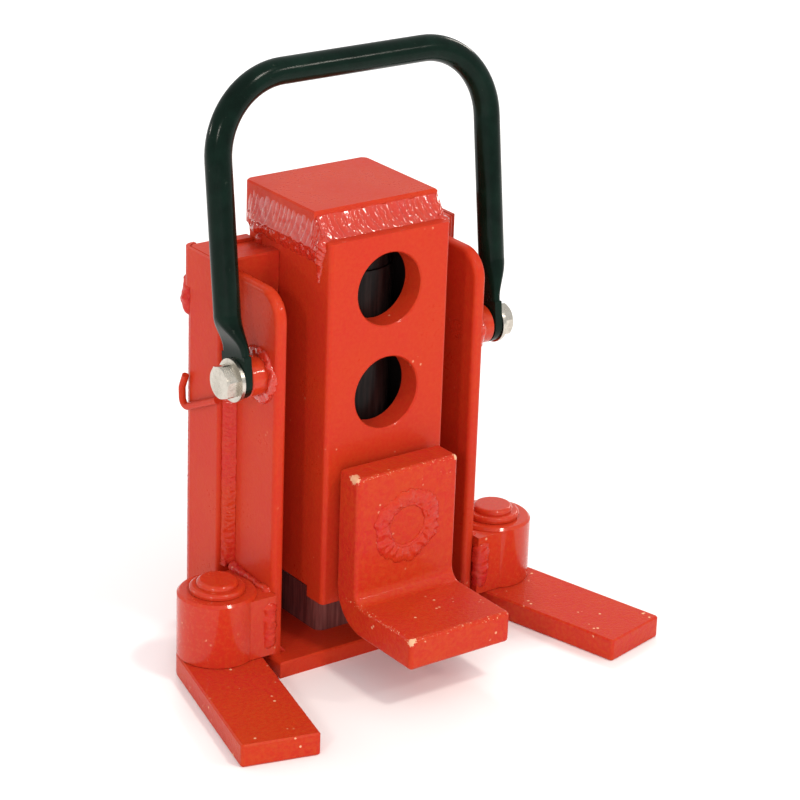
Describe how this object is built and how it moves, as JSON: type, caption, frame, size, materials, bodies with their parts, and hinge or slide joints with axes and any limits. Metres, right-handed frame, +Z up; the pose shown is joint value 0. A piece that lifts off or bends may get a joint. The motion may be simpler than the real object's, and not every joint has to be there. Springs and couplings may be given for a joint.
{
  "type": "hydraulic toe jack",
  "caption": "Welded hydraulic machine jack: a ram lifts a box with a head plate and a plug-in toe; swivelling feet steady it and a bail handle carries it.",
  "frame": {"origin": "on the floor, on the centre plane, under the front face of the lifting box", "axes": "+X to the right as seen from the front, -Y to the front where the toe points, +Z up along the ram"},
  "size_m": [0.3074, 0.2388, 0.3677],
  "materials": {
    "red_paint": "gloss enamel over welded plate",
    "black_paint": "satin black coating",
    "zinc": "bright zinc plate",
    "cylinder_black": "oiled black",
    "chrome_rod": "hard chrome",
    "bronze": "machined",
    "seal_rubber": "moulded",
    "spring_steel": "drawn wire",
    "coupler_steel": "turned and plated",
    "cap_plastic": "moulded"
  },
  "bodies": {
    "frame": {"base_plate": "red_paint", "left_post": "red_paint", "right_post": "red_paint", "back_plate": "red_paint", "top_band": "red_paint", "left_cheek": "red_paint", "right_cheek": "red_paint", "left_pivot_boss": "red_paint", "right_pivot_boss": "red_paint", "left_boss_web": "red_paint", "right_boss_web": "red_paint", "handle_bosses": "red_paint", "hose_hook": "red_paint", "handle_bolts": "zinc", "handle_washers": "zinc", "cylinder_base": "cylinder_black", "cylinder_barrel": "cylinder_black", "rod_bearing": "bronze", "rod_seal": "seal_rubber", "gland_nut": "cylinder_black", "rod_wiper": "seal_rubber", "lower_spring_anchor": "spring_steel", "cylinder_screws": "zinc", "port_nipple": "coupler_steel", "coupler_body": "coupler_steel", "return_spring": "spring_steel", "post_welds": "red_paint", "boss_welds": "red_paint", "handle_boss_welds": "red_paint"},
    "lift_box": {"front_plate": "red_paint", "left_side_plate": "red_paint", "right_side_plate": "red_paint", "box_rear_plate": "red_paint", "left_guide_rib": "red_paint", "right_guide_rib": "red_paint", "head_block": "red_paint", "head_weld": "red_paint", "plunger": "chrome_rod", "piston_ring": "bronze", "piston_seal": "seal_rubber", "upper_spring_anchor": "spring_steel"},
    "toe": {"toe_claw": "red_paint", "toe_plug": "red_paint", "toe_plug_weld": "red_paint"},
    "left_foot": {"left_foot": "red_paint", "left_pivot_pin": "red_paint", "left_pin_collar": "red_paint"},
    "right_foot": {"right_foot": "red_paint", "right_pivot_pin": "red_paint", "right_pin_collar": "red_paint"},
    "handle": {"carry_handle": "black_paint"},
    "cap": {"dust_cap": "cap_plastic"}
  },
  "joints": [
    {"name": "ram_lift", "type": "slide", "parent": "frame", "child": "lift_box", "axis": [0, 0, 1], "range_m": [0, 0.065], "deforming": ["return_spring"]},
    {"name": "toe_pull", "type": "slide", "parent": "lift_box", "child": "toe", "axis": [0, -1, 0], "range_m": [0, 0.03]},
    {"name": "left_foot_swing", "type": "hinge", "parent": "frame", "child": "left_foot", "pos_m": [-0.103, 0.0227, 0.03], "axis": [0, 0, -1], "range_deg": [-18, 86]},
    {"name": "right_foot_swing", "type": "hinge", "parent": "frame", "child": "right_foot", "pos_m": [0.103, 0.0227, 0.03], "axis": [0, 0, 1], "range_deg": [-18, 86]},
    {"name": "handle_swing", "type": "hinge", "parent": "frame", "child": "handle", "pos_m": [0, 0.022, 0.187], "axis": [1, 0, 0], "range_deg": [-85, 140]},
    {"name": "cap_pull", "type": "slide", "parent": "frame", "child": "cap", "axis": [0, 1, 0], "range_m": [0, 0.015]}
  ]
}
